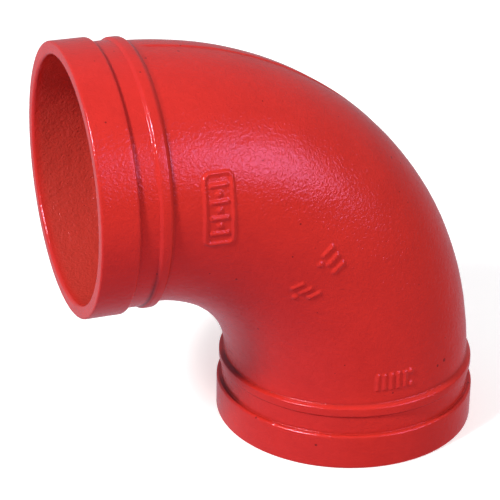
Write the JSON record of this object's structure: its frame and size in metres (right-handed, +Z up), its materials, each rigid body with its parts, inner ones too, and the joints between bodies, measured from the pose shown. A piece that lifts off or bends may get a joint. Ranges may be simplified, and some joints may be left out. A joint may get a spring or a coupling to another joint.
{
  "type": "grooved pipe elbow",
  "caption": "Short 90 degree pipe elbow in red painted cast iron, with a grooved and collared end on each leg for a pipe coupling.",
  "frame": {"origin": "on the floor, at the middle of the bounding box's lowest face; the outlet's axis is the vertical line x = 0.034925, y = 0, and the inlet's axis is the line y = 0, z = 0.127", "axes": "+Z up along the outlet leg, which opens downwards; -X out of the inlet leg's mouth; Y across the plane of the bend, with the raised casting marks on the -Y side"},
  "size_m": [0.1842, 0.1142, 0.1841],
  "materials": {
    "red_paint": "satin"
  },
  "bodies": {
    "root": {"elbow_casting": "red_paint"}
  },
  "joints": []
}
